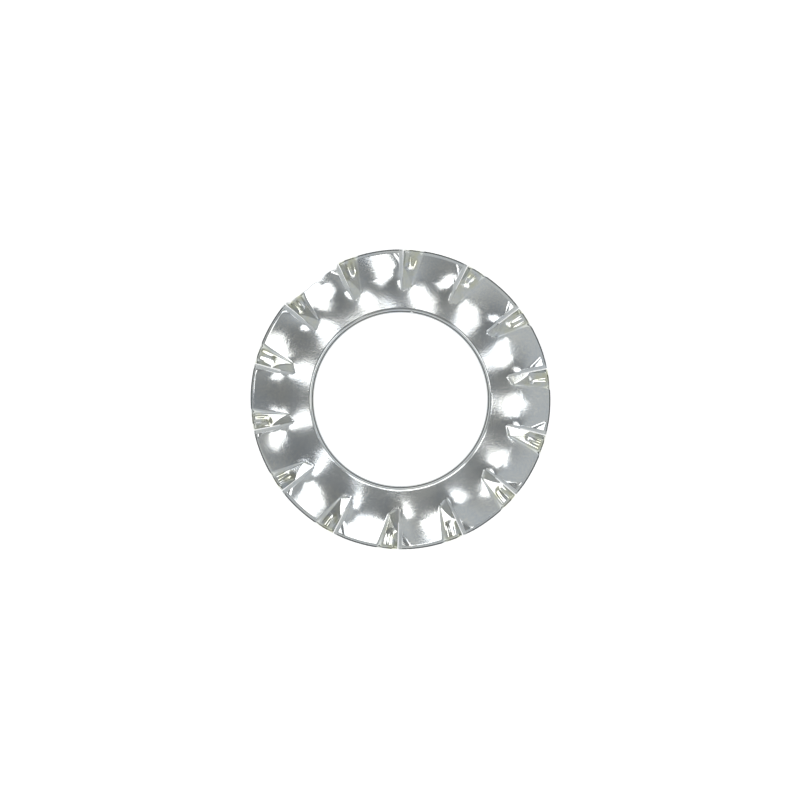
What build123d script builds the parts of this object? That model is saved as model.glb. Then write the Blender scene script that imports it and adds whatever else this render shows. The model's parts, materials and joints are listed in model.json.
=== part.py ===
from build123d import *
import cmath
import os
from math import atan, cos, degrees, pi, radians, sin, tau

# A toothed lock washer pressed from one strip of spring steel. The rim is sheared
# into teeth by radial slits, and each tooth is twisted: its clockwise edge stands
# up over the slit, and its other edge is pressed down below the tooth before it,
# with a small folded pocket beside the slit. Seen from above, turns run clockwise from
# +Y. The flat collar's top face is the datum for heights until the end, where the
# washer is set down on its lowest edge. All lengths are in millimetres.

# Blank
hole_radius = 4.33
rim_radius = 7.5
sheet = 0.8

# Teeth
tooth_count = 14
first_slit_turn = 1.0  # degrees
slit_length = 2.05
slit_gap = 0.06  # at the rim; the slit closes to nothing at its root
tooth_lift = 0.38  # half the height between a fully twisted tooth's two edges
edges_part = 0.65  # from the slit's root to where its two edges leave each other
twist_sharpness = 11.0  # how quickly the twist dies away towards the hole
twist_lag = 18.0  # degrees of wave that the crests trail by at the hole
lag_bend = 0.63  # below 1, most of that lag comes early on the way in

# Pocket beside each slit: a floor of four facets, and a wall back up to the tooth
pocket_heel = 0.25  # from the slit's root to the floor's far inner corner
pocket_valley = 1.2  # from the slit's root to where the valley meets the slit
pocket_fold = 1.26  # from the slit's root to the outer crease's other end
floor_heel_width = 0.5
floor_rim_width = 0.8
floor_ridge = 0.38  # share of the floor's width where the ridge runs out to the rim
wall_heel_width = 0.05
wall_rim_width = 0.22
heel_drop = 0.04  # these drops are below the twisted sheet, at the floor's corners
fold_drop = 0.055
corner_drop = 0.04
rim_drop = 0.15

# Rolled edges left by the punch on the upper side
hole_roll_width = 0.2
hole_roll_drop = 0.14
rim_roll_width = 0.25
rim_roll_drop = 0.08
rim_roll_power = 2.5  # above 2, the roll starts gently and ends steep

# Crumpled rim of one tooth: the metal stands in low lobes, with sharp nicks between
crumple_turns = (310.6, 335.0)  # degrees, where the damage starts and ends
lobe_turns = (312.6, 316.8, 322.3, 330.9)  # degrees
lobe_depths = (0.16, 0.23, 0.25, 0.17)  # of each lobe's crown below the rim
lobe_radius = 0.9
crumple_depth = 0.45  # how far in the damage may reach

# Fineness of the curves
spline_steps = 10

# Worked out from the sizes above
pitch = tau / tooth_count
slit_root_radius = rim_radius - slit_length
collar_radius = hole_radius + hole_roll_width
parting_radius = slit_root_radius + edges_part
heel_radius = slit_root_radius + pocket_heel
valley_radius = slit_root_radius + pocket_valley
fold_radius = slit_root_radius + pocket_fold
roll_radius = rim_radius - rim_roll_width


def share(value, start, end):
    """How far value lies from start to end, kept between 0 and 1."""
    return min(max((value - start) / (end - start), 0.0), 1.0)


def wave_point(radius, turn):
    """The twist as a point s on the complex plane, where a slit is the line s > 1."""
    lag = radians(twist_lag) * share(radius, parting_radius, hole_radius) ** lag_bend
    reach = (radius / parting_radius) ** twist_sharpness
    return cmath.rect(reach, tooth_count * turn - lag)


def twist_height(radius, turn):
    """Height of the twisted sheet, as a plate torn along its slits takes it."""
    if radius <= collar_radius:
        return 0.0
    root = cmath.sqrt(1 - wave_point(radius, turn))
    return tooth_lift * 2 / pi * cmath.log((1 + root) / 2).imag


def twist_tilt(radius, turn):
    """Angle in radians by which the sheet rises clockwise."""
    if radius <= collar_radius:
        return 0.0
    point = wave_point(radius, turn)
    root = cmath.sqrt(1 - point)
    rise = (-1j * point / (2 * root * (1 + root))).imag
    return atan(tooth_lift * 2 / pi * tooth_count / radius * rise)


def roll_drop(radius):
    """Drop of the upper face where the punch rolled it over, at the hole and the rim."""
    at_hole = share(radius, collar_radius, hole_radius)
    at_rim = share(radius, roll_radius, rim_radius)
    return hole_roll_drop * at_hole**2 + rim_roll_drop * at_rim**rim_roll_power


def placed(radius, turn, height, depth):
    """A point depth below the upper face's height, square to the twisted sheet."""
    tilt = twist_tilt(radius, turn)
    level = height - depth * cos(tilt)
    if depth == 0:
        level -= roll_drop(radius)
    place = turn + depth * sin(tilt) / radius
    return Vector(radius * sin(place), radius * cos(place), level)


def sheet_point(radius, turn, depth):
    """A point of the twisted sheet, depth below its upper face."""
    return placed(radius, turn, twist_height(radius, turn), depth)


def half_gap(radius):
    """Half the slit's width as a turn."""
    return slit_gap / 2 * share(radius, slit_root_radius, rim_radius) / radius


def raised_edge_turn(radius):
    """Turn of a tooth's upper clockwise edge, set back so that its foot clears the slit."""
    lean = sheet * sin(twist_tilt(radius, pitch - half_gap(radius)))
    set_back = lean * share(radius, slit_root_radius, heel_radius)
    return pitch - half_gap(radius) - set_back / radius


def floor_width(radius):
    """Width of the pocket's floor."""
    widening = share(radius, heel_radius, rim_radius)
    return floor_heel_width + (floor_rim_width - floor_heel_width) * widening


def pocket_turn(radius):
    """Turn where the pocket's wall meets the smooth part of the tooth."""
    if radius <= slit_root_radius:
        return 0.0
    widening = share(radius, heel_radius, rim_radius)
    wall_width = wall_heel_width + (wall_rim_width - wall_heel_width) * widening
    return (floor_width(radius) + wall_width) / radius


def floor_turn(radius, across):
    """Turn of a point of the pocket's floor, across being 0 at the slit and 1 at the wall."""
    return half_gap(radius) + (floor_width(radius) / radius - half_gap(radius)) * across


def corner_height(radius, across, drop):
    """Height of a corner of the pocket's floor, a drop below the twisted sheet."""
    return twist_height(radius, floor_turn(radius, across)) - drop


def arc_edge(radius, start, stop, depth):
    """A curve round the washer along one face of the sheet, a true arc on the collar."""
    steps = 2 if radius <= collar_radius else spline_steps
    turns = [start + (stop - start) * step / steps for step in range(steps + 1)]
    points = [sheet_point(radius, turn, depth) for turn in turns]
    if radius <= collar_radius:
        return Edge.make_three_point_arc(*points)
    return Edge.make_spline(points)


def bands(edges):
    """Ruled faces from each edge to the next."""
    return [Face.make_surface_from_curves(*pair) for pair in zip(edges, edges[1:])]


def segments(points):
    """Straight edges from each point to the next."""
    return [Edge.make_line(*pair) for pair in zip(points, points[1:])]


def ring_edges(depth):
    """Curves of the whole ring over one pitch, from the hole to the slit's root."""
    half_roll = (hole_radius + collar_radius) / 2
    middle = (collar_radius + slit_root_radius) / 2
    stations = [hole_radius, half_roll, collar_radius, middle, slit_root_radius]
    return [arc_edge(radius, 0.0, pitch, depth) for radius in stations]


def blade_radii():
    """Radii at which a tooth's section is set out."""
    half_roll = (roll_radius + rim_radius) / 2
    return [slit_root_radius, heel_radius, fold_radius, roll_radius, half_roll, rim_radius]


def blade_edges(depth):
    """Curves across the smooth part of a tooth, from the slit's root to the rim."""
    return [
        arc_edge(radius, pocket_turn(radius), raised_edge_turn(radius), depth)
        for radius in blade_radii()
    ]


def floor_lines(depth):
    """Lines of the pocket's floor from its outer crease to the rim: slit, ridge and wall."""
    valley_height = corner_height(valley_radius, 0.0, 0.0)
    fold_height = corner_height(fold_radius, 1.0, fold_drop)
    lines = []
    for across, drop in ((0.0, corner_drop), (floor_ridge, 0.0), (1.0, rim_drop)):
        start = valley_radius + (fold_radius - valley_radius) * across
        inner = valley_height + (fold_height - valley_height) * across
        outer = corner_height(rim_radius, across, drop)
        lines.append(
            [
                placed(r, floor_turn(r, across), inner + (outer - inner) * share(r, start, rim_radius), depth)
                for r in [start] + blade_radii()[3:]
            ]
        )
    valley, fold = lines[0][0], lines[2][0]
    lines[1][0] = valley + (fold - valley) * floor_ridge
    return lines


def pocket_corners(depth):
    """The slit's root, the floor's inner corner, and the points along the wall's top."""
    root = sheet_point(slit_root_radius, 0.0, depth)
    heel_height = corner_height(heel_radius, 1.0, heel_drop)
    heel = placed(heel_radius, floor_turn(heel_radius, 1.0), heel_height, depth)
    top = [sheet_point(radius, pocket_turn(radius), depth) for radius in blade_radii()[1:]]
    return root, heel, top


def polygon(*points):
    """A flat face between points."""
    return Face(Wire.make_polygon(points, close=True))


def pocket_faces(depth):
    """The pocket's facets: two three-cornered ones, strips out to the rim, and the wall."""
    root, heel, top = pocket_corners(depth)
    slit_line, ridge_line, wall_line = floor_lines(depth)
    valley, ridge, fold = slit_line[0], ridge_line[0], wall_line[0]
    faces = [
        polygon(root, valley, heel),
        polygon(valley, ridge, fold, heel),
        polygon(root, heel, top[0]),
    ]
    sides = [slit_line, ridge_line, wall_line, top[1:]]
    for near, far in zip(sides, sides[1:]):
        faces += bands([Edge.make_line(*pair) for pair in zip(near, far)])
    faces += bands([Edge.make_line(heel, top[0]), Edge.make_line(fold, top[1])])
    return faces


def wall(upper_edges, lower_edges):
    """Cut faces of the sheet between matching upper and lower edges."""
    return [Face.make_surface_from_curves(*pair) for pair in zip(upper_edges, lower_edges)]


def pressed_wall():
    """The cut face along a tooth's pressed edge."""
    sides = []
    for depth in (0.0, sheet):
        root = pocket_corners(depth)[0]
        sides.append(segments([root] + floor_lines(depth)[0]))
    return wall(*sides)


def raised_wall():
    """The cut face along a tooth's raised edge."""
    sides = []
    for depth in (0.0, sheet):
        sides.append(
            segments([sheet_point(r, raised_edge_turn(r), depth) for r in blade_radii()])
        )
    return wall(*sides)


def rim_wall():
    """The cut face round a tooth's rim, with the pocket's part of it."""
    sides = []
    for depth in (0.0, sheet):
        ends = [line[-1] for line in floor_lines(depth)]
        sides.append(segments(ends + [pocket_corners(depth)[2][-1]]) + blade_edges(depth)[-1:])
    return wall(*sides)


def hole_wall():
    """The bore's wall over one pitch, below the rolled edge."""
    return [Face.extrude(ring_edges(0.0)[0], (0, 0, hole_roll_drop - sheet))]


def one_pitch():
    """All faces of the washer from one slit to the next."""
    skins = []
    for depth in (0.0, sheet):
        skins += bands(ring_edges(depth)) + bands(blade_edges(depth)) + pocket_faces(depth)
    return skins + pressed_wall() + raised_wall() + rim_wall() + hole_wall()


def pie(radius, start, stop):
    """A tall slice of a disc between two turns, given in degrees."""
    height = 4 * (sheet + tooth_lift)
    slice_place = Pos(0, 0, -height / 2) * Rot(0, 0, 90 - stop)
    return slice_place * Solid.make_cylinder(radius, height, angle=stop - start)


def crumple_cutter():
    """What the damage takes off the rim: a band of it, less the lobes that stand."""
    start, stop = crumple_turns
    cutter = pie(rim_radius + crumple_depth, start, stop)
    cutter -= pie(rim_radius - crumple_depth, start - 1, stop + 1)
    for turn, depth in zip(lobe_turns, lobe_depths):
        reach = rim_radius - depth - lobe_radius
        centre = Pos(reach * sin(radians(turn)), reach * cos(radians(turn)), 0)
        cutter -= centre * Cylinder(lobe_radius, 4 * (sheet + tooth_lift))
    return cutter


def lock_washer():
    """The finished washer, standing on its lowest edge with the bore on the Z axis."""
    faces = one_pitch()
    turned = [
        face.rotate(Axis.Z, -first_slit_turn - degrees(pitch) * index)
        for index in range(tooth_count)
        for face in faces
    ]
    washer = Solid(Shell(turned)) - crumple_cutter()
    return Pos(0, 0, -washer.bounding_box().min.Z) * washer


washer = lock_washer()
washer.label = "lock_washer"
print(washer.is_valid, washer.volume, washer.bounding_box(), len(washer.faces()))
os.makedirs("parts", exist_ok=True)
export_step(washer, "parts/lock_washer.step")
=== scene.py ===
import cmath
import json
import logging
from dataclasses import dataclass, field
from enum import Enum
from functools import cached_property
from math import atan, atan2, cos, exp, hypot, pi, radians, sin, sqrt, tan, tau

import bmesh
import bpy
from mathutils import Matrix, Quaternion, Vector


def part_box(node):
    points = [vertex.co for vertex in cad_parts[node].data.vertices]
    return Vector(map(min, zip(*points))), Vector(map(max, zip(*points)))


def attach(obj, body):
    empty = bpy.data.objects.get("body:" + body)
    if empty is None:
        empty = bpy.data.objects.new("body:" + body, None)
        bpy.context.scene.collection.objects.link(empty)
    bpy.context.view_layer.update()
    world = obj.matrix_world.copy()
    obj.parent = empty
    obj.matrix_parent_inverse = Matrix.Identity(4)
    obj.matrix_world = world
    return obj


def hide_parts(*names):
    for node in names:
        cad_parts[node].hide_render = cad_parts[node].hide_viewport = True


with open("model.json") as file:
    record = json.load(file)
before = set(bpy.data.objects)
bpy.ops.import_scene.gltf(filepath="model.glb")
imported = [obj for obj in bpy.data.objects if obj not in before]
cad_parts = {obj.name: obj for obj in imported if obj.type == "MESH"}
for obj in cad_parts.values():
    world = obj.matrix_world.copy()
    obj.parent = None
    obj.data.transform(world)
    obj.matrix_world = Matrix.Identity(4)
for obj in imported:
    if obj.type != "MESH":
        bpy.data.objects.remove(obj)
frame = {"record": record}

# The washer is worked out in millimetres and turned to metres once it is pressed.
# Seen from above, turns run clockwise from +Y, and a tooth has the number of the
# slit at its pressed edge.

MM = 0.001  # metres in a millimetre
NODE = "lock_washer"
PIECE = "washer_pressing"
POCKET_LAYER = "pocket"  # how far a point lies within a pocket, for the films
CUT_LAYER = "cut"  # 1 on the sheared edges, for their lines
NEAR = 1e-4  # millimetres or radians: what lies closer than this touches
HAIR = 1e-6  # radians or less: what rounding may add to a number
OPEN_SLIT = 1e-3  # millimetres past its root, where a slit counts as open
LOWER_SHARE = 0.6  # share of the sheet below which a point is on the lower face
GRID_HALF = 0.5  # half the side of the grid that a tooth's blank starts from

log = logging.getLogger(NODE)


def share(value: float, start: float, end: float) -> float:
    """Says how far a value lies between two others.

    Args:
        value: The value to place.
        start: Where the share is 0.
        end: Where the share is 1.

    Returns:
        The share, kept between 0 and 1.
    """
    return min(max((value - start) / (end - start), 0.0), 1.0)


def between(start: float, end: float, part: float) -> float:
    """Returns the value that lies a part of the way from start to end."""
    return start + (end - start) * part


def eased(part: float) -> float:
    """Returns a share from 0 to 1 that starts and ends gently."""
    return part * part * (3 - 2 * part)


def linear(hex_colour: str) -> tuple[float, float, float, float]:
    """Turns an sRGB hex colour into linear light.

    Args:
        hex_colour: Six hex digits after a hash sign.

    Returns:
        Red, green, blue and an alpha of 1.
    """
    values = [int(hex_colour[first:first + 2], 16) / 255 for first in (1, 3, 5)]
    lit = [v / 12.92 if v <= 0.04045 else ((v + 0.055) / 1.055) ** 2.4 for v in values]
    return (*lit, 1.0)


def add_node(tree: bpy.types.NodeTree, kind: str, settings: dict | None = None,
             links: dict | None = None) -> bpy.types.Node:
    """Adds one node with its settings and links.

    Args:
        tree: The node tree to add to.
        kind: The node's type name.
        settings: Attribute names, input names or input places, with their values.
        links: Input names or places with the sockets that feed them.

    Returns:
        The new node.
    """
    node = tree.nodes.new(kind)
    for name, value in (settings or {}).items():
        if hasattr(node, str(name)):
            setattr(node, name, value)
        else:
            node.inputs[name].default_value = value
    for name, socket in (links or {}).items():
        tree.links.new(socket, node.inputs[name])
    return node


def empty_material(name: str) -> bpy.types.Material:
    """Makes a material with an empty node tree.

    Args:
        name: The real finish's name.

    Returns:
        The material.
    """
    material = bpy.data.materials.new(name)
    material.use_nodes = True
    material.node_tree.nodes.clear()
    return material


def place_object(name: str, data: bpy.types.ID) -> bpy.types.Object:
    """Adds an object to the scene, at the origin.

    Args:
        name: The object's name.
        data: Its mesh, lamp or camera.

    Returns:
        The object.
    """
    placed = bpy.data.objects.new(name, data)
    bpy.context.scene.collection.objects.link(placed)
    return placed


def mesh_object(name: str, shape: bmesh.types.BMesh) -> bpy.types.Object:
    """Turns a finished shape into an object of the scene, and frees the shape.

    Args:
        name: The object's name.
        shape: The shape, in metres.

    Returns:
        The object.
    """
    mesh = bpy.data.meshes.new(name)
    shape.to_mesh(mesh)
    shape.free()
    return place_object(name, mesh)


@dataclass(frozen=True)
class Twist:
    """How the sheet rises and falls round the washer, in millimetres.

    The teeth are twisted as a plate torn along its slits takes it: each rises
    clockwise from its pressed edge to its raised edge, and the wave dies away
    towards the hole. The punches wear unevenly, so each slit has its own
    lift, sharpness, parting radius and lag, and a tooth turns from one slit's
    values to the next one's.
    """

    hole_radius: float
    rim_radius: float
    sheet: float = 0.8
    first_slit_turn: float = 1.0  # degrees
    slit_length: float = 2.05
    slit_gap: float = 0.05  # at the rim; the slit closes to nothing at its root
    steepest: float = 0.5  # radians, the most that the sheet leans
    hole_wave: float = 0.1  # the wave left at the hole, against 1 at the partings
    lag_bend: float = 0.51  # below 1, most of the lag comes early on the way in
    # Half the height between a slit's two edges, where the twist is full.
    lifts: tuple[float, ...] = (
        0.385, 0.350, 0.324, 0.316, 0.296, 0.306, 0.336,
        0.335, 0.331, 0.364, 0.324, 0.283, 0.364, 0.369)
    # Radians of wave that the crests trail by at the hole.
    lags: tuple[float, ...] = (
        0.275, 0.370, 0.336, 0.318, 0.294, 0.236, 0.242,
        0.204, 0.140, 0.142, 0.133, 0.188, 0.199, 0.285)
    # How quickly the twist dies away towards the hole.
    sharpnesses: tuple[float, ...] = (
        11.45, 11.22, 10.63, 10.69, 11.08, 11.31, 11.46,
        11.19, 10.85, 11.71, 11.14, 10.73, 10.95, 10.30)
    # Radius at which a slit's two edges leave each other.
    partings: tuple[float, ...] = (
        6.092, 6.099, 6.146, 6.090, 6.098, 6.093, 6.080,
        6.094, 6.097, 6.095, 6.097, 6.129, 6.089, 6.055)

    @property
    def tooth_count(self) -> int:
        """The number of teeth, and of slits."""
        return len(self.lifts)

    @property
    def pitch(self) -> float:
        """The turn from one slit to the next, in radians."""
        return tau / self.tooth_count

    @property
    def slit_root(self) -> float:
        """Radius of the slits' inner ends."""
        return self.rim_radius - self.slit_length

    def blended(self, values: tuple[float, ...], tooth: int, part: float) -> float:
        """Returns a value that turns smoothly from a tooth's own slit's to the next one's."""
        following = values[(tooth + 1) % self.tooth_count]
        return between(values[tooth], following, eased(part))

    def wave_point(self, radius: float, tooth: int, turn: float) -> tuple[complex, float]:
        """Places a point of the sheet on the complex plane, where a slit is s > 1.

        Args:
            radius: Distance from the hole's axis.
            tooth: The tooth's number.
            turn: Clockwise turn from the tooth's own slit, in radians.

        Returns:
            The point s, and the lift there.
        """
        part = turn / self.pitch
        lift, lag, sharpness, parting = (
            self.blended(values, tooth, part)
            for values in (self.lifts, self.lags, self.sharpnesses, self.partings))
        inward = share(radius, parting, self.hole_radius)
        reach = hypot((radius / parting) ** sharpness, self.hole_wave * sqrt(inward))
        return cmath.rect(reach, tau * part - lag * inward ** self.lag_bend), lift

    def height(self, radius: float, tooth: int, turn: float) -> float:
        """Returns the upper face's height over the middle of the wave, away from any pocket."""
        point, lift = self.wave_point(radius, tooth, turn)
        return lift * 2 / pi * cmath.log((1 + cmath.sqrt(1 - point)) / 2).imag

    def tilt(self, radius: float, tooth: int, turn: float) -> float:
        """Works out how steeply the sheet rises clockwise.

        Args:
            radius: Distance from the hole's axis.
            tooth: The tooth's number.
            turn: Clockwise turn from the tooth's own slit, in radians.

        Returns:
            The angle in radians, no larger than the steepest either way.
        """
        point, lift = self.wave_point(radius, tooth, turn)
        root = cmath.sqrt(1 - point)
        if abs(root) < HAIR:
            return self.steepest
        rise = (-1j * point / (2 * root * (1 + root))).imag
        slope = lift * 2 / pi * self.tooth_count / radius * rise
        return max(min(atan(slope), self.steepest), -self.steepest)

    def half_gap(self, radius: float) -> float:
        """Returns half the slit's width as a turn."""
        return self.slit_gap / 2 * share(radius, self.slit_root, self.rim_radius) / radius


@dataclass(frozen=True)
class Pocket:
    """The folded hollow beside each slit, where the punch pressed the edge down.

    Its floor has four facets, and a wall climbs from its far side back to the
    twisted sheet. The heel, valley and fold are measured outwards from the
    slit's root, and the depths below the sheet there, all in millimetres. The
    outer facets are rippled from the slit to the wall.
    """

    heel: float = 0.25  # to the floor's far inner corner
    valley: float = 1.2  # to where the valley meets the slit
    fold: float = 1.26  # to the outer crease's other end
    heel_width: float = 0.42
    rim_width: float = 0.8
    ridge: float = 0.38  # share of the floor's width where the ridge meets the rim
    heel_depth: float = 0.064
    valley_depth: float = 0.160
    fold_depth: float = 0.138
    corner_depth: float = 0.325
    ridge_depth: float = 0.184
    rim_depth: float = 0.212
    wall_start: float = 0.6  # share of the heel where the wall begins
    heel_wall: float = 0.08
    rim_wall: float = 0.34
    crease_height: float = 0.010
    crease_width: float = 0.14
    bulge: float = 0.01
    ripple_depth: float = 0.008
    ripple_count: float = 2.4
    ripple_shift: float = 0.618  # of a ripple, from one tooth to the next
    ripple_start: float = 0.3  # share of the outer facets where ripples are full
    inner_film: float = 0.35  # share of the films that the inner facets take
    film_start: float = 0.6  # from the slit's root to where the films thicken

    def ripple(self, tooth: int, across: float) -> float:
        """Returns how high a tooth's ripples stand, across its floor."""
        ripples = self.ripple_count * across + self.ripple_shift * tooth
        return self.ripple_depth * sin(tau * ripples)


@dataclass(frozen=True)
class Corners:
    """Heights of the corners of one pocket's floor, in millimetres."""

    root: float
    heel: float
    valley: float
    fold: float
    corner: float
    ridge: float
    rim: float


@dataclass(frozen=True)
class Rolls:
    """Edges that the punch rolled over, in millimetres.

    The raised corner of each tooth is bent down. A raised edge ends in a lip
    that slopes out to its foot, from which the cut face drops straight.
    """

    hole_width: float = 0.2
    hole_drop: float = 0.14
    rim_width: float = 0.09
    rim_drop: float = 0.07
    rim_power: float = 1.2
    # How far in along each tooth's raised edge its bent corner reaches.
    bend_reaches: tuple[float, ...] = (
        0.80, 0.85, 0.95, 0.90, 0.85, 0.80, 0.85,
        0.75, 0.45, 0.40, 0.35, 0.40, 0.50, 0.45)
    bend_outward: float = 0.13  # fall of the bent corner for each length outwards
    bend_clockwise: float = 0.23  # and for each length towards the raised edge
    bend_blend: float = 0.03  # depth over which the fold is rounded
    foot_width: float = 0.08
    foot_growth: float = 0.05  # what the foot's width gains for each length outwards
    foot_start: float = 0.05  # from the slit's root to where the foot is whole
    foot_reach: float = 0.6  # from the raised edge to where the foot's shift has died away
    lip_slope: float = 0.47  # the most that a lip falls, for each length of its width
    lip_least: float = 0.01  # the least that it falls


@dataclass(frozen=True)
class Nick:
    """A small nick in the hole's upper edge."""

    turn: float = 7.3  # degrees
    width: float = 0.14
    reach: float = 0.16
    depth: float = 0.09

    def drop(self, radius: float, turn: float, hole_radius: float) -> float:
        """Returns how far the upper face is knocked down, at a radius and a turn in radians."""
        aside = share(abs(turn - radians(self.turn)) * radius, self.width / 2, 0)
        return self.depth * aside * share(radius, hole_radius + self.reach, hole_radius)


@dataclass(frozen=True)
class Crumple:
    """The battered rim of one tooth: low lobes with sharp nicks between them."""

    turns: tuple[float, float] = (310.6, 335.0)  # degrees, where it starts and ends
    lobe_turns: tuple[float, ...] = (312.6, 316.8, 322.3, 330.9)  # degrees
    lobe_depths: tuple[float, ...] = (0.16, 0.23, 0.25, 0.17)
    lobe_radius: float = 0.9
    reach: float = 0.6

    def outline(self, turn: float, rim: float) -> float:
        """Finds how far out the rim stands.

        Args:
            turn: Clockwise turn from +Y, in radians.
            rim: The sound rim's radius.

        Returns:
            The rim's radius at that turn.
        """
        start, stop = (radians(end) for end in self.turns)
        if not start <= turn <= stop:
            return rim
        outermost = rim - self.reach
        for lobe_turn, depth in zip(self.lobe_turns, self.lobe_depths):
            centre = rim - depth - self.lobe_radius
            aside = radians(lobe_turn) - turn
            inside = self.lobe_radius ** 2 - (centre * sin(aside)) ** 2
            if inside > 0:
                outermost = max(outermost, centre * cos(aside) + sqrt(inside))
        return min(outermost, rim)


class Level(Enum):
    """Where in the sheet's thickness a point of the blank lies."""

    UPPER = "upper"
    FOOT = "foot"
    LOWER = "lower"


@dataclass(frozen=True)
class Spot:
    """A point of the flat blank, with its turn in radians from its tooth's slit."""

    radius: float
    tooth: int
    turn: float
    level: Level


@dataclass(frozen=True)
class Pattern:
    """A noise pattern of a real size.

    Its size is the width of its spots in millimetres, its detail the number of
    finer layers on them, and its stretch a factor on each of three directions.
    """

    size: float
    detail: float
    stretch: tuple[float, float, float] = (1, 1, 1)

    def add(self, tree: bpy.types.NodeTree, place: bpy.types.NodeSocket) -> bpy.types.NodeSocket:
        """Adds the pattern to a node tree.

        Args:
            tree: The node tree.
            place: Where the pattern is read, in metres.

        Returns:
            The socket with the pattern, from 0 to 1.
        """
        turned = add_node(tree, "ShaderNodeMapping", {"Scale": self.stretch}, {"Vector": place})
        noise = add_node(tree, "ShaderNodeTexNoise", {
            "Scale": 1 / (self.size * MM), "Detail": self.detail}, {
            "Vector": turned.outputs["Vector"]})
        return noise.outputs["Fac"]


@dataclass(frozen=True)
class ZincPlate:
    """Bright zinc, plated on spring steel after pressing and passivated.

    It gives the eye a bright grey mirror, a little clouded. The passivation
    leaves cool and straw-coloured films, strongest in the folded pockets. The
    sheared edges are rougher, with fine lines the way that the punch went.
    """

    cool: str = "#C0C5CA"
    plain: str = "#CFD0CD"
    straw: str = "#C5C6B4"
    roughness: float = 0.10
    roughness_spread: float = 0.2  # share by which the grain varies it, either way
    cut_roughness: float = 0.30
    film: Pattern = Pattern(size=1.6, detail=3.0)
    cloud: Pattern = Pattern(size=0.45, detail=2.0)
    grain: Pattern = Pattern(size=0.09, detail=2.0)  # drawn coarser than it is, to show
    lines: Pattern = Pattern(size=0.05, detail=1.0, stretch=(1, 1, 0.12))
    speckle: float = 0.5  # share of the grain in the films' pattern
    film_range: tuple[float, float] = (0.36, 0.62)  # of that pattern, from cool to plain
    patch_range: tuple[float, float] = (0.36, 0.64)  # of the cloud, from no straw to all
    grain_range: tuple[float, float] = (0.3, 0.7)  # of the grain, from smooth to rough
    cloud_depth: float = 0.0008  # millimetres, as the next two are
    grain_depth: float = 0.0009
    line_depth: float = 0.004

    def colour(self, tree: bpy.types.NodeTree,
               read: dict[str, bpy.types.NodeSocket]) -> bpy.types.NodeSocket:
        """Adds the films: cool and plain all over, and straw in patches in the pockets.

        Args:
            tree: The node tree.
            read: Sockets with the patterns and the mesh's layers.

        Returns:
            The socket with the colour.
        """
        speckled = add_node(tree, "ShaderNodeMix", {"data_type": "FLOAT", 0: self.speckle}, {
            2: read["film"], 3: read["grain"]})
        films = add_node(tree, "ShaderNodeValToRGB", links={"Fac": speckled.outputs[0]})
        ends = zip(films.color_ramp.elements, self.film_range, (self.cool, self.plain))
        for element, position, tone in ends:
            element.position = position
            element.color = linear(tone)
        uncut = add_node(tree, "ShaderNodeMath", {"operation": "SUBTRACT"}, {
            0: read[POCKET_LAYER], 1: read[CUT_LAYER]})
        patches = add_node(tree, "ShaderNodeMapRange", {
            "From Min": self.patch_range[0], "From Max": self.patch_range[1]}, {
            "Value": read["cloud"]})
        folded = add_node(tree, "ShaderNodeMath", {"operation": "MULTIPLY", "use_clamp": True}, {
            0: uncut.outputs[0], 1: patches.outputs["Result"]})
        tinted = add_node(tree, "ShaderNodeMix", {"data_type": "RGBA", 7: linear(self.straw)}, {
            0: folded.outputs[0], 6: films.outputs["Color"]})
        return tinted.outputs[2]

    def gloss(self, tree: bpy.types.NodeTree,
              read: dict[str, bpy.types.NodeSocket]) -> bpy.types.NodeSocket:
        """Adds the roughness, uneven with the grain and higher on the cut edges.

        Args:
            tree: The node tree.
            read: Sockets with the patterns and the mesh's layers.

        Returns:
            The socket with the roughness.
        """
        plated = add_node(tree, "ShaderNodeMapRange", {
            "From Min": self.grain_range[0], "From Max": self.grain_range[1],
            "To Min": self.roughness * (1 - self.roughness_spread),
            "To Max": self.roughness * (1 + self.roughness_spread)}, {"Value": read["grain"]})
        sheared = add_node(tree, "ShaderNodeMix", {"data_type": "FLOAT", 3: self.cut_roughness}, {
            0: read[CUT_LAYER], 2: plated.outputs["Result"]})
        return sheared.outputs[0]

    def relief(self, tree: bpy.types.NodeTree,
               read: dict[str, bpy.types.NodeSocket]) -> bpy.types.NodeSocket:
        """Adds the clouds and grain of the plating, and the lines of the cut edges.

        Args:
            tree: The node tree.
            read: Sockets with the patterns and the mesh's layers.

        Returns:
            The socket with the surface's direction.
        """
        clouded = add_node(tree, "ShaderNodeBump", {"Distance": self.cloud_depth * MM}, {
            "Height": read["cloud"]})
        grained = add_node(tree, "ShaderNodeBump", {"Distance": self.grain_depth * MM}, {
            "Height": read["grain"], "Normal": clouded.outputs["Normal"]})
        cut_lines = add_node(tree, "ShaderNodeMath", {"operation": "MULTIPLY"}, {
            0: read["lines"], 1: read[CUT_LAYER]})
        lined = add_node(tree, "ShaderNodeBump", {"Distance": self.line_depth * MM}, {
            "Height": cut_lines.outputs[0], "Normal": grained.outputs["Normal"]})
        return lined.outputs["Normal"]

    def material(self) -> bpy.types.Material:
        """Builds the plating's material.

        Returns:
            The material, which reads the pocket and cut layers of its mesh.
        """
        material = empty_material("bright_zinc_plate")
        tree = material.node_tree
        place = add_node(tree, "ShaderNodeTexCoord").outputs["Object"]
        read = {
            "film": self.film.add(tree, place),
            "cloud": self.cloud.add(tree, place),
            "grain": self.grain.add(tree, place),
            "lines": self.lines.add(tree, place),
        }
        for layer in (POCKET_LAYER, CUT_LAYER):
            attribute = add_node(tree, "ShaderNodeAttribute", {"attribute_name": layer})
            read[layer] = attribute.outputs["Fac"]
        shader = add_node(tree, "ShaderNodeBsdfPrincipled", {"Metallic": 1.0}, {
            "Base Color": self.colour(tree, read), "Roughness": self.gloss(tree, read),
            "Normal": self.relief(tree, read)})
        add_node(tree, "ShaderNodeOutputMaterial", links={"Surface": shader.outputs["BSDF"]})
        return material


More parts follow.
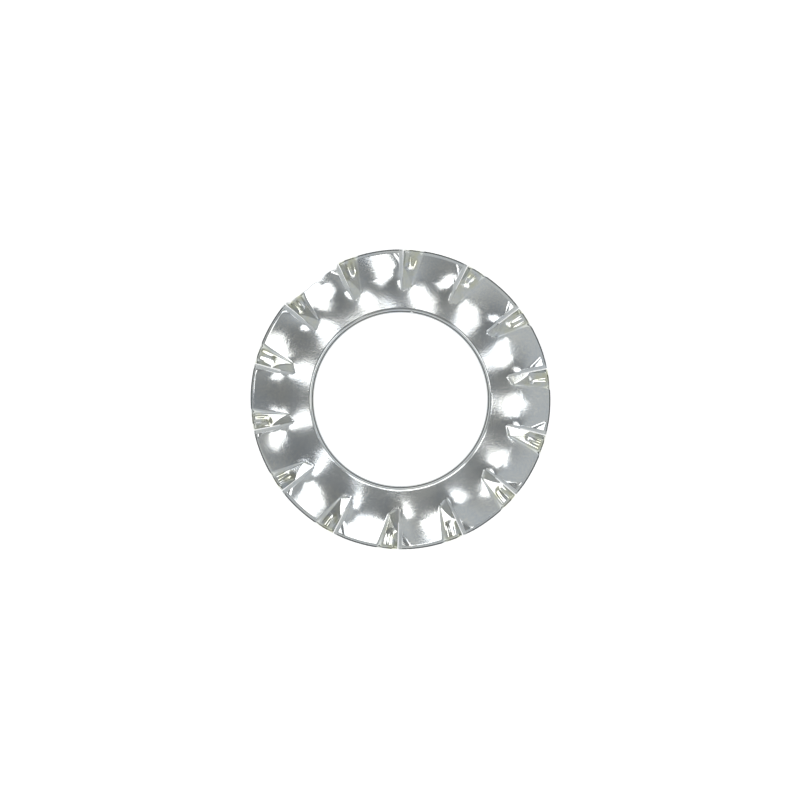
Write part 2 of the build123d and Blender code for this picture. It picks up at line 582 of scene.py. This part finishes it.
@dataclass
class Washer:
    """The whole washer, pressed from one blank.

    The blank's columns run outwards, over a pocket's floor, its wall and the
    rest of the tooth, and its rings lie in six bands from the hole to the rim.
    """

    twist: Twist
    pocket: Pocket = field(default_factory=Pocket)
    rolls: Rolls = field(default_factory=Rolls)
    crumple: Crumple = field(default_factory=Crumple)
    nick: Nick = field(default_factory=Nick)
    finish: ZincPlate = field(default_factory=ZincPlate)
    floor_columns: int = 18
    wall_columns: int = 6
    tooth_columns: int = 36
    column_crowding: float = 1.25  # above 1, columns crowd towards the raised edge
    ring_counts: tuple[int, ...] = (5, 12, 5, 18, 6, 4)
    sharp_angle: float = 38.0  # degrees, past which a fold is a sharp edge

    @property
    def heel_radius(self) -> float:
        """Radius of the far inner corners of the pockets' floors."""
        return self.twist.slit_root + self.pocket.heel

    @cached_property
    def floors(self) -> list[Corners]:
        """The corners of each pocket's floor."""
        return [self.corners(tooth) for tooth in range(self.twist.tooth_count)]

    def rows(self) -> list[float]:
        """Lists the radii of the blank's rings, closer together where the sheet bends.

        Returns:
            The radii, from the hole's to the rim's.
        """
        twist = self.twist
        bounds = (
            twist.hole_radius,
            twist.hole_radius + self.rolls.hole_width,
            twist.slit_root,
            self.heel_radius,
            twist.slit_root + self.pocket.fold,
            twist.rim_radius - self.rolls.rim_width,
            twist.rim_radius,
        )
        radii = [twist.hole_radius]
        for start, end, count in zip(bounds, bounds[1:], self.ring_counts):
            radii += [between(start, end, step / count) for step in range(1, count + 1)]
        return radii

    def floor_width(self, radius: float) -> float:
        """Returns how wide a pocket's floor is at a radius."""
        outward = share(radius, self.heel_radius, self.twist.rim_radius)
        return between(self.pocket.heel_width, self.pocket.rim_width, outward)

    def wall_width(self, radius: float) -> float:
        """Returns how wide the wall beside a pocket's floor is."""
        outward = share(radius, self.heel_radius, self.twist.rim_radius)
        return between(self.pocket.heel_wall, self.pocket.rim_wall, outward)

    def set_back(self, radius: float, tooth: int) -> float:
        """Works out how far a raised edge stands back from its slit.

        Args:
            radius: Distance from the hole's axis.
            tooth: The tooth's number.

        Returns:
            The distance, nothing at the slit's root.
        """
        twist, rolls = self.twist, self.rolls
        leaning = twist.sheet * sin(twist.tilt(radius, tooth, twist.pitch - twist.half_gap(radius)))
        sloping = rolls.foot_width + rolls.foot_growth * (radius - twist.slit_root)
        whole = share(radius, twist.slit_root, twist.slit_root + rolls.foot_start)
        return max(leaning, sloping) * whole

    def raised_turn(self, radius: float, tooth: int) -> float:
        """Returns the turn of a tooth's raised edge, set back so that its foot clears the slit."""
        edge = self.twist.pitch - self.twist.half_gap(radius)
        return edge - self.set_back(radius, tooth) / radius

    def behind_edge(self, spot: Spot) -> float:
        """Returns how far a spot lies behind its tooth's raised edge."""
        return (self.raised_turn(spot.radius, spot.tooth) - spot.turn) * spot.radius

    def foot_shift(self, spot: Spot, tilt: float) -> float:
        """Works out how far a point lies clockwise of the upper face over it.

        Args:
            spot: The point of the blank.
            tilt: The sheet's tilt there, in radians.

        Returns:
            The distance, so that the sheet keeps its thickness and its feet their place.
        """
        if spot.level is Level.UPPER:
            return 0.0
        leaning = self.twist.sheet * sin(tilt)
        if spot.radius <= self.twist.slit_root:
            return leaning
        near = share(self.behind_edge(spot), self.rolls.foot_reach, 0)
        return between(leaning, self.set_back(spot.radius, spot.tooth), near * near)

    def foot_height(self, spot: Spot) -> float:
        """Works out the height of the foot of a raised edge's rounded lip.

        Args:
            spot: A point on the raised edge.

        Returns:
            The height, level with the metal across the slit where the lip allows it.
        """
        twist, rolls = self.twist, self.rolls
        following = (spot.tooth + 1) % twist.tooth_count
        beside = self.upper_height(spot.radius, following, twist.half_gap(spot.radius))
        top = self.upper_height(spot.radius, spot.tooth, spot.turn) - self.bend(spot)
        lip = rolls.lip_slope * self.set_back(spot.radius, spot.tooth)
        return max(min(beside, top - rolls.lip_least), top - lip) - self.roll_drop(spot.radius)

    def bend(self, spot: Spot) -> float:
        """Works out how far a tooth's raised corner is bent down, past a slanting fold.

        Args:
            spot: The point of the blank.

        Returns:
            The distance, nothing before the fold.
        """
        rolls = self.rolls
        outward = spot.radius - self.twist.rim_radius + rolls.bend_reaches[spot.tooth]
        past = rolls.bend_outward * outward - rolls.bend_clockwise * self.behind_edge(spot)
        if abs(past) < rolls.bend_blend:
            return (past + rolls.bend_blend) ** 2 / (4 * rolls.bend_blend)
        return max(past, 0.0)

    def column_turn(self, radius: float, column: int, tooth: int) -> float:
        """Works out the turn of one of the blank's columns.

        Args:
            radius: Distance from the hole's axis.
            column: The column's number, from 0 at the slit.
            tooth: The tooth's number.

        Returns:
            The turn from the tooth's own slit, in radians.
        """
        start = self.twist.half_gap(radius)
        floor_end = self.floor_width(radius) / radius
        if column <= self.floor_columns:
            return between(start, floor_end, column / self.floor_columns)
        wall_end = floor_end + self.wall_width(radius) / radius
        column -= self.floor_columns
        if column <= self.wall_columns:
            return between(floor_end, wall_end, column / self.wall_columns)
        left = 1 - (column - self.wall_columns) / self.tooth_columns
        return between(wall_end, self.raised_turn(radius, tooth), 1 - left ** self.column_crowding)

    def sheet_height(self, radius: float, tooth: int, offset: float) -> float:
        """Returns the twisted sheet's height at a distance from a tooth's slit."""
        return self.twist.height(radius, tooth, max(offset, NEAR) / radius)

    def corners(self, tooth: int) -> Corners:
        """Works out the heights of the corners of a pocket's floor.

        Args:
            tooth: The tooth's number.

        Returns:
            The corners.
        """
        pocket = self.pocket
        root = self.sheet_height(self.twist.slit_root, tooth, 0)
        return Corners(
            root=root,
            heel=root - pocket.heel_depth,
            valley=root - pocket.valley_depth,
            fold=root - pocket.fold_depth,
            corner=root - pocket.corner_depth,
            ridge=root - pocket.ridge_depth,
            rim=root - pocket.rim_depth,
        )

    def facet_height(self, radius: float, tooth: int, across: float) -> float:
        """Works out the height of a pocket's facets.

        Args:
            radius: Distance from the hole's axis.
            tooth: The tooth's number.
            across: How far across the floor, from 0 at the slit to 1 at the wall.

        Returns:
            The height.
        """
        twist, pocket = self.twist, self.pocket
        corners = self.floors[tooth]
        heel = twist.slit_root + pocket.heel * across
        diagonal = twist.slit_root + between(pocket.valley, pocket.heel, across)
        fold = twist.slit_root + between(pocket.valley, pocket.fold, across)
        at_diagonal = between(corners.valley, corners.heel, across)
        at_fold = between(corners.valley, corners.fold, across)
        if radius <= heel:
            return self.sheet_height(radius, tooth, across * self.floor_width(radius))
        if radius <= diagonal:
            at_heel = between(corners.root, corners.heel, across)
            return between(at_heel, at_diagonal, share(radius, heel, diagonal))
        if radius <= fold:
            return between(at_diagonal, at_fold, share(radius, diagonal, fold))
        if across <= pocket.ridge:
            at_rim = between(corners.corner, corners.ridge, across / pocket.ridge)
        else:
            at_rim = between(corners.ridge, corners.rim, share(across, pocket.ridge, 1))
        outward = share(radius, fold, twist.rim_radius)
        rippled = pocket.ripple(tooth, across) * share(outward, 0, pocket.ripple_start)
        return between(at_fold, at_rim, outward) + rippled + pocket.bulge * sin(pi * outward)

    def floor_height(self, radius: float, tooth: int, across: float) -> float:
        """Adds the crease that stands along a floor's fold to its facets.

        Args:
            radius: Distance from the hole's axis.
            tooth: The tooth's number.
            across: How far across the floor, from 0 at the slit to 1 at the wall.

        Returns:
            The height.
        """
        pocket = self.pocket
        beyond = radius - self.twist.slit_root - between(pocket.valley, pocket.fold, across)
        crease = pocket.crease_height * exp(-(beyond / pocket.crease_width) ** 2)
        return self.facet_height(radius, tooth, across) + crease * sin(pi * across)

    def upper_height(self, radius: float, tooth: int, turn: float) -> float:
        """Works out the upper face's height, with its pocket and before its edges are rolled.

        Args:
            radius: Distance from the hole's axis.
            tooth: The tooth's number.
            turn: Clockwise turn from the tooth's own slit, in radians.

        Returns:
            The height.
        """
        twist = self.twist
        sheet = twist.height(radius, tooth, turn)
        floor_width = self.floor_width(radius)
        pocket_width = floor_width + self.wall_width(radius)
        offset = turn * radius
        if radius <= twist.slit_root or offset >= pocket_width:
            return sheet
        across = share(offset, twist.half_gap(radius) * radius, floor_width)
        floor = self.floor_height(radius, tooth, across)
        if offset <= floor_width:
            return floor
        top = twist.height(radius, tooth, pocket_width / radius)
        climb = eased(share(offset, floor_width, pocket_width))
        wall_start = twist.slit_root + self.pocket.heel * self.pocket.wall_start
        whole = share(radius, wall_start, self.heel_radius)
        return between(sheet, between(floor, top, climb), whole)

    def roll_drop(self, radius: float) -> float:
        """Works out how far the punch rolled the upper face over.

        Args:
            radius: Distance from the hole's axis.

        Returns:
            The distance, nothing away from the hole and the rim.
        """
        twist, rolls = self.twist, self.rolls
        at_hole = share(radius, twist.hole_radius + rolls.hole_width, twist.hole_radius)
        at_rim = share(radius, twist.rim_radius - rolls.rim_width, twist.rim_radius)
        return rolls.hole_drop * at_hole ** 2 + rolls.rim_drop * at_rim ** rolls.rim_power

    def spot(self, flat: Vector) -> Spot:
        """Finds which tooth a point of the flat blank belongs to.

        Args:
            flat: The point, with z 0 on the upper face and below 0 elsewhere.

        Returns:
            The point's spot.
        """
        twist = self.twist
        whole_turn = (atan2(flat.x, flat.y) - radians(twist.first_slit_turn)) % tau
        tooth = int(whole_turn / twist.pitch + HAIR) % twist.tooth_count
        turn = max((whole_turn - tooth * twist.pitch + HAIR) % tau - HAIR, 0.0)
        if flat.z == 0:
            level = Level.UPPER
        elif flat.z < -LOWER_SHARE * twist.sheet:
            level = Level.LOWER
        else:
            level = Level.FOOT
        return Spot(hypot(flat.x, flat.y), tooth, turn, level)

    def pressed_place(self, spot: Spot) -> Vector:
        """Moves a point of the flat blank to its place in the pressed washer.

        Args:
            spot: The point.

        Returns:
            Its place, with the middle of the wave at height 0.
        """
        twist = self.twist
        radius = spot.radius
        tilt = twist.tilt(radius, spot.tooth, spot.turn)
        slit_turn = spot.tooth * twist.pitch + radians(twist.first_slit_turn)
        if spot.level is Level.UPPER:
            height = self.upper_height(radius, spot.tooth, spot.turn)
            height -= self.roll_drop(radius) + self.bend(spot)
            height -= self.nick.drop(radius, spot.turn + slit_turn, twist.hole_radius)
        elif spot.level is Level.FOOT:
            height = self.foot_height(spot)
        else:
            # The lower face follows the twisted sheet and takes no mark of the pockets.
            above = twist.height(radius, spot.tooth, max(spot.turn, NEAR))
            height = above - twist.sheet * cos(tilt)
        turn = spot.turn + slit_turn + self.foot_shift(spot, tilt) / radius
        inner = twist.rim_radius - self.crumple.reach
        outline = self.crumple.outline(turn % tau, twist.rim_radius)
        if radius > inner:
            radius = between(inner, outline, share(radius, inner, twist.rim_radius))
        return Vector((radius * sin(turn), radius * cos(turn), height))

    def film_share(self, spot: Spot) -> float:
        """Works out how thick the pockets' films lie at a point.

        Args:
            spot: The point of the blank.

        Returns:
            1 on the outer part of a floor, less on its inner part and up its wall, and 0
            away from the pockets.
        """
        floor_width = self.floor_width(spot.radius)
        wall_end = floor_width + self.wall_width(spot.radius)
        beside = share(spot.turn * spot.radius, wall_end, floor_width)
        outward = spot.radius - self.twist.slit_root
        inner = self.pocket.inner_film * share(outward, 0, self.pocket.heel)
        return beside * between(inner, 1, share(outward, self.pocket.film_start, self.pocket.fold))

    def blank(self) -> bmesh.types.BMesh:
        """Makes the flat blank with its slits cut, as one thick sheet.

        A grid is wrapped into the first tooth, which is spun round the hole, so
        each slit is the gap between two teeth.

        Returns:
            The blank, with its upper face at height 0.
        """
        twist = self.twist
        rows = self.rows()
        columns = self.floor_columns + self.wall_columns + self.tooth_columns
        sheet = bmesh.new()
        bmesh.ops.create_grid(
            sheet, x_segments=columns, y_segments=len(rows) - 1, size=GRID_HALF)
        for vert in sheet.verts:
            column = round((vert.co.x + GRID_HALF) * columns)
            radius = rows[round((vert.co.y + GRID_HALF) * (len(rows) - 1))]
            turn = self.column_turn(radius, column, 0) + radians(twist.first_slit_turn)
            vert.co = Vector((radius * sin(turn), radius * cos(turn), 0.0))
        bmesh.ops.spin(
            sheet, geom=sheet.faces[:], cent=(0, 0, 0), axis=(0, 0, -1),
            angle=tau - twist.pitch, steps=twist.tooth_count - 1, use_duplicate=True)
        bmesh.ops.remove_doubles(sheet, verts=sheet.verts[:], dist=NEAR)
        bmesh.ops.recalc_face_normals(sheet, faces=sheet.faces[:])
        grown = bmesh.ops.extrude_face_region(sheet, geom=sheet.faces[:], use_keep_orig=True)
        lower = [item for item in grown["geom"] if isinstance(item, bmesh.types.BMVert)]
        bmesh.ops.translate(sheet, verts=lower, vec=(0, 0, -twist.sheet))
        raised = [edge for edge in sheet.edges if self.under_raised_edge(edge)]
        bmesh.ops.subdivide_edges(sheet, edges=raised, cuts=1, use_grid_fill=True)
        return sheet

    def under_raised_edge(self, edge: bmesh.types.BMEdge) -> bool:
        """Tells whether an edge of the blank stands upright on a tooth's raised side.

        Args:
            edge: The edge.

        Returns:
            Whether it does, away from the slit's root.
        """
        above, below = edge.verts
        if abs(above.co.z - below.co.z) < self.twist.sheet / 2:
            return False
        spot = self.spot(above.co)
        behind = self.raised_turn(spot.radius, 0) - spot.turn
        return spot.radius > self.twist.slit_root + OPEN_SLIT and abs(behind) < NEAR

    def pressed(self) -> bmesh.types.BMesh:
        """Presses the blank into shape.

        Returns:
            The washer in metres, standing on the floor, with its layers for the finish.
        """
        metal = self.blank()
        films = metal.verts.layers.float.new(POCKET_LAYER)
        cuts = metal.faces.layers.float.new(CUT_LAYER)
        for face in metal.faces:
            levels = {self.spot(vert.co).level for vert in face.verts}
            face[cuts] = 1.0 if len(levels) > 1 else 0.0
        for vert in metal.verts:
            spot = self.spot(vert.co)
            vert[films] = self.film_share(spot)
            vert.co = self.pressed_place(spot)
        lowest = min(vert.co.z for vert in metal.verts)
        bmesh.ops.translate(metal, verts=metal.verts[:], vec=(0, 0, -lowest))
        bmesh.ops.scale(metal, verts=metal.verts[:], vec=(MM, MM, MM))
        bmesh.ops.recalc_face_normals(metal, faces=metal.faces[:])
        for face in metal.faces:
            face.smooth = True
        for edge in metal.edges:
            edge.smooth = edge.calc_face_angle(pi) < radians(self.sharp_angle)
        return metal

    def build(self) -> bpy.types.Object:
        """Makes the washer, dresses it and hangs it on the frame.

        Returns:
            The washer's object.
        """
        piece = mesh_object(PIECE, self.pressed())
        piece.data.materials.append(self.finish.material())
        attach(piece, "root")
        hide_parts(NODE)
        return piece


@dataclass(frozen=True)
class WhiteCard:
    """Matt white card, uncoated.

    It gives the eye an even white that keeps the washer's soft shadow. Its
    glow is seen by the camera and in reflections, and adds no light to what
    is matt.
    """

    tone: str = "#EDEDED"
    glow: float = 0.62

    def material(self) -> bpy.types.Material:
        """Builds the card's material.

        Returns:
            The material.
        """
        material = empty_material("white_card")
        tree = material.node_tree
        card = add_node(tree, "ShaderNodeBsdfDiffuse", {"Color": linear(self.tone)})
        path = add_node(tree, "ShaderNodeLightPath")
        seen = add_node(tree, "ShaderNodeMath", {"operation": "MAXIMUM"}, {
            0: path.outputs["Is Camera Ray"], 1: path.outputs["Is Glossy Ray"]})
        also = add_node(tree, "ShaderNodeMath", {"operation": "MAXIMUM"}, {
            0: seen.outputs[0], 1: path.outputs["Is Transmission Ray"]})
        level = add_node(tree, "ShaderNodeMath", {"operation": "MULTIPLY", 1: self.glow}, {
            0: also.outputs[0]})
        glow = add_node(tree, "ShaderNodeEmission", {"Color": linear("#FFFFFF")}, {
            "Strength": level.outputs[0]})
        both = add_node(tree, "ShaderNodeAddShader", links={
            0: card.outputs[0], 1: glow.outputs[0]})
        add_node(tree, "ShaderNodeOutputMaterial", links={"Surface": both.outputs[0]})
        return material


@dataclass(frozen=True)
class Softbox:
    """A rectangular soft lamp, placed by the direction that it shines from.

    East, north, half_width and half_length are angles in radians, and spin
    turns the lamp in its own plane. The distance is in metres.
    """

    name: str
    east: float
    north: float
    half_width: float
    half_length: float
    spin: float
    brightness: float = 2.6
    distance: float = 0.6

    def build(self, target: Vector) -> bpy.types.Object:
        """Makes the lamp, aimed at the target.

        Args:
            target: The point that it shines at.

        Returns:
            The lamp's object.
        """
        lean = hypot(self.east, self.north)
        away = Vector((sin(lean) * self.east / lean, sin(lean) * self.north / lean, cos(lean)))
        lamp = bpy.data.lights.new(self.name, "AREA")
        lamp.shape = "RECTANGLE"
        lamp.size = 2 * self.distance * tan(self.half_width)
        lamp.size_y = 2 * self.distance * tan(self.half_length)
        lamp.energy = self.brightness * pi * lamp.size * lamp.size_y
        placed = place_object(self.name, lamp)
        placed.location = target + away * self.distance
        aimed = away.to_track_quat("Z", "Y") @ Quaternion((0, 0, 1), self.spin)
        placed.rotation_euler = aimed.to_euler()
        return placed


@dataclass(frozen=True)
class Band:
    """A change in the room's brightness between two heights of a direction's Z.

    Below and above are the factors on the brightness under and over them.
    """

    low: float
    high: float
    below: float
    above: float


@dataclass(frozen=True)
class Room:
    """The room's own light: dim overhead, and bright at the sides.

    Its brightness is the overhead level, and a slope and a bow on how far a
    direction leans east and north, kept between the dimmest and the brightest.
    """

    tone: str = "#FCFFFF"
    overhead: float = 0.33
    east_slope: float = 0.28
    east_bow: float = 0.95
    north_slope: float = 0.94
    north_bow: float = 4.6
    dimmest: float = 0.23
    brightest: float = 0.72
    bands: tuple[Band, ...] = (
        Band(low=0.40, high=0.53, below=0.15, above=1.0),  # a dark horizon
        Band(low=0.54, high=0.72, below=1.9, above=1.0),  # bright walls over it
    )

    def build(self) -> None:
        """Sets the world up."""
        world = bpy.data.worlds.new("room")
        bpy.context.scene.world = world
        world.use_nodes = True
        tree = world.node_tree
        tree.nodes.clear()
        direction = add_node(tree, "ShaderNodeTexCoord").outputs["Generated"]
        parts = add_node(tree, "ShaderNodeSeparateXYZ", links={"Vector": direction}).outputs
        leaning_east = add_node(tree, "ShaderNodeMath", {
            "operation": "MULTIPLY_ADD", 1: self.east_bow, 2: self.east_slope}, {0: parts["X"]})
        leaning_north = add_node(tree, "ShaderNodeMath", {
            "operation": "MULTIPLY_ADD", 1: self.north_bow, 2: self.north_slope}, {0: parts["Y"]})
        eastward = add_node(tree, "ShaderNodeMath", {
            "operation": "MULTIPLY_ADD", 2: self.overhead}, {
            0: leaning_east.outputs[0], 1: parts["X"]})
        level = add_node(tree, "ShaderNodeMath", {"operation": "MULTIPLY_ADD"}, {
            0: leaning_north.outputs[0], 1: parts["Y"], 2: eastward.outputs[0]})
        strength = add_node(tree, "ShaderNodeClamp", {
            "Min": self.dimmest, "Max": self.brightest}, {"Value": level.outputs[0]})
        for band in self.bands:
            factor = add_node(tree, "ShaderNodeMapRange", {
                "From Min": band.low, "From Max": band.high,
                "To Min": band.below, "To Max": band.above}, {"Value": parts["Z"]})
            strength = add_node(tree, "ShaderNodeMath", {"operation": "MULTIPLY"}, {
                0: strength.outputs[0], 1: factor.outputs["Result"]})
        shade = add_node(tree, "ShaderNodeBackground", {"Color": linear(self.tone)}, {
            "Strength": strength.outputs[0]})
        add_node(tree, "ShaderNodeOutputWorld", links={"Surface": shade.outputs[0]})


@dataclass(frozen=True)
class Studio:
    """The floor, room, lamps and camera, in millimetres unless it says otherwise."""

    washer_level: float = 1.0  # height that the lamps and the camera are set for
    floor_half: float = 600.0  # half its side
    card: WhiteCard = WhiteCard()
    room: Room = Room()
    softboxes: tuple[Softbox, ...] = (
        Softbox("softbox_north", east=-0.008, north=0.078,
                half_width=0.070, half_length=0.052, spin=0.5),
        Softbox("softbox_east", east=0.206, north=-0.092,
                half_width=0.128, half_length=0.086, spin=0.2),
        Softbox("softbox_west", east=-0.224, north=-0.120,
                half_width=0.092, half_length=0.117, spin=-0.46),
    )
    frame_width: float = 40.0  # what the camera sees from side to side
    camera_place: tuple[float, float, float] = (-0.025, -0.03, 400.0)
    sensor_width: float = 36.0
    clip_start: float = 10.0
    clip_end: float = 10000.0

    def build(self) -> list[bpy.types.Object]:
        """Sets the washer's surroundings up.

        Returns:
            The floor, the lamps and the camera.
        """
        self.room.build()
        target = Vector((0, 0, self.washer_level * MM))
        lamps = [softbox.build(target) for softbox in self.softboxes]
        return [self.floor(), *lamps, self.camera()]

    def floor(self) -> bpy.types.Object:
        """Lays a plain pale floor.

        Returns:
            The floor's object.
        """
        card = bmesh.new()
        bmesh.ops.create_grid(card, x_segments=1, y_segments=1, size=self.floor_half * MM)
        piece = mesh_object("floor", card)
        piece.data.materials.append(self.card.material())
        return piece

    def camera(self) -> bpy.types.Object:
        """Hangs the camera straight over the hole.

        Returns:
            The camera's object.
        """
        lens = bpy.data.cameras.new("camera")
        lens.sensor_width = self.sensor_width
        away = self.camera_place[2] - self.washer_level
        lens.lens = self.sensor_width * away / self.frame_width
        lens.clip_start = self.clip_start * MM
        lens.clip_end = self.clip_end * MM
        placed = place_object("camera", lens)
        placed.location = [value * MM for value in self.camera_place]
        bpy.context.scene.camera = placed
        return placed


def main() -> None:
    """Builds the washer and its studio, and reports each piece."""
    logging.basicConfig(level=logging.INFO)
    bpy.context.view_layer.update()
    lowest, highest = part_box(NODE)
    rim_radius = (highest.y - lowest.y) / 2 / MM
    hole_radius = next(mount["dims"]["r_mm"] for mount in frame["record"]["mounts"])
    washer = Washer(Twist(hole_radius=hole_radius, rim_radius=rim_radius))
    for piece in (washer.build(), *Studio().build()):
        log.info("%s (%s) is in place", piece.name, piece.type.lower())
    bpy.context.scene.view_settings.view_transform = "Standard"


if __name__ == "__main__":
    main()
